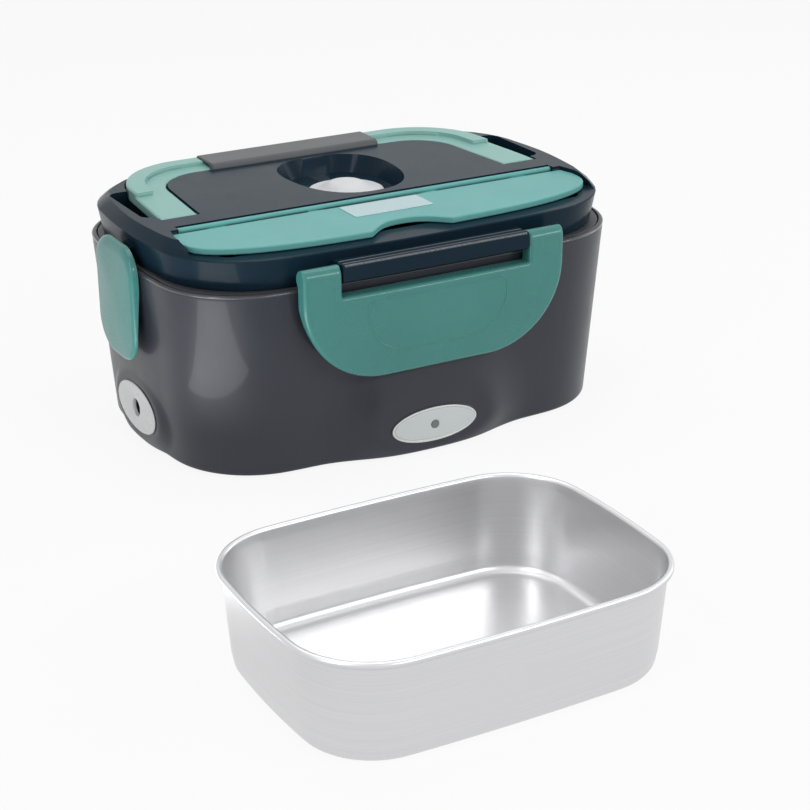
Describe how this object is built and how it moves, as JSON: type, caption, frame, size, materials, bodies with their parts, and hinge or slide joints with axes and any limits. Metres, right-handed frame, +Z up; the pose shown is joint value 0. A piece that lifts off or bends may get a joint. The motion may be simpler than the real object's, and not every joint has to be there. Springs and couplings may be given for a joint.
{
  "type": "electric lunch box",
  "caption": "Portable heated lunch box with a clip-on lid, side latches, a fold-down handle, a hinged cutlery compartment and a loose steel food tray.",
  "frame": {"origin": "centre of the flat underside of the base cover", "axes": "+X to the right along the long side with the power inlet at -X, +Y to the back, towards the handle's grip, +Z up"},
  "size_m": [0.2958, 0.3983, 0.1118],
  "materials": {
    "case_plastic": "satin",
    "lid_plastic": "satin",
    "latch_plastic": "gloss",
    "cover_plastic": "satin",
    "handle_plastic": "satin",
    "grip_rubber": "matt",
    "white_plastic": "gloss",
    "lens_plastic": "satin",
    "led_plastic": "gloss",
    "label_film": "gloss",
    "white_silicone": "matt",
    "black_rubber": "matt",
    "liner_plastic": "matt",
    "tray_aluminium": "satin",
    "heater_aluminium": "satin",
    "food_steel": "satin",
    "screw_steel": "plated",
    "pin_steel": "ground",
    "clamp_steel": "plated",
    "insulation": "matt",
    "black_moulding": "satin",
    "fuse_sleeve": "matt",
    "board_laminate": "satin",
    "contact_brass": "bright",
    "live_sleeve": "satin",
    "neutral_sleeve": "satin",
    "lamp_sleeve": "satin"
  },
  "bodies": {
    "base": {"housing": "case_plastic", "cavity_liner": "liner_plastic", "heating_tray": "tray_aluminium", "heating_element": "heater_aluminium", "insulation_pad": "insulation", "heater_clamp": "clamp_steel", "clamp_screws": "screw_steel", "thermostat": "black_moulding", "thermal_fuse": "fuse_sleeve", "control_board": "board_laminate", "board_screws": "screw_steel", "indicator_led": "led_plastic", "indicator_bezel": "white_plastic", "indicator_lens": "lens_plastic", "inlet_bezel": "white_plastic", "inlet_socket": "black_moulding", "inlet_contacts": "contact_brass", "live_wire": "live_sleeve", "neutral_wire": "neutral_sleeve", "link_wire": "live_sleeve", "lamp_wires": "lamp_sleeve", "base_cover": "case_plastic", "base_screws": "screw_steel", "rubber_feet": "black_rubber"},
    "lid": {"lid_shell": "lid_plastic", "lid_inner_plate": "white_plastic", "lid_seal": "white_silicone", "lid_screws": "screw_steel", "handle_pins": "pin_steel", "cover_hinge_pins": "pin_steel", "long_latch_pins": "pin_steel", "side_latch_pins": "pin_steel"},
    "front_latch": {"front_latch": "latch_plastic"},
    "rear_latch": {"rear_latch": "latch_plastic"},
    "left_latch": {"left_latch": "latch_plastic"},
    "right_latch": {"right_latch": "latch_plastic"},
    "handle": {"handle_bail": "handle_plastic", "handle_grip": "grip_rubber"},
    "cutlery_cover": {"cutlery_cover": "cover_plastic", "cover_label": "label_film"},
    "vent_plug": {"vent_plug": "white_silicone"},
    "food_container": {"food_container": "food_steel"}
  },
  "joints": [
    {"name": "lid_lift", "type": "slide", "parent": "base", "child": "lid", "axis": [0, 0, 1], "range_m": [0, 0.12]},
    {"name": "front_latch_hinge", "type": "hinge", "parent": "lid", "child": "front_latch", "pos_m": [0, -0.0822, 0.0944], "axis": [-1, 0, 0], "range_deg": [0, 105]},
    {"name": "rear_latch_hinge", "type": "hinge", "parent": "lid", "child": "rear_latch", "pos_m": [0, 0.0822, 0.0944], "axis": [1, 0, 0], "range_deg": [0, 105]},
    {"name": "left_latch_hinge", "type": "hinge", "parent": "lid", "child": "left_latch", "pos_m": [-0.1193, 0, 0.0944], "axis": [0, 1, 0], "range_deg": [0, 90]},
    {"name": "right_latch_hinge", "type": "hinge", "parent": "lid", "child": "right_latch", "pos_m": [0.1193, 0, 0.0944], "axis": [0, -1, 0], "range_deg": [0, 90]},
    {"name": "handle_hinge", "type": "hinge", "parent": "lid", "child": "handle", "pos_m": [0, -0.0068, 0.10535], "axis": [1, 0, 0], "range_deg": [0, 90]},
    {"name": "cover_hinge", "type": "hinge", "parent": "lid", "child": "cutlery_cover", "pos_m": [0, -0.0234, 0.1063], "axis": [-1, 0, 0], "range_deg": [0, 95]},
    {"name": "vent_plug_pull", "type": "slide", "parent": "lid", "child": "vent_plug", "axis": [0, 0, 1], "range_m": [0, 0.02]},
    {"name": "food_container_lift", "type": "slide", "parent": "base", "child": "food_container", "axis": [0, 0, 1], "range_m": [0, 0.12]}
  ]
}
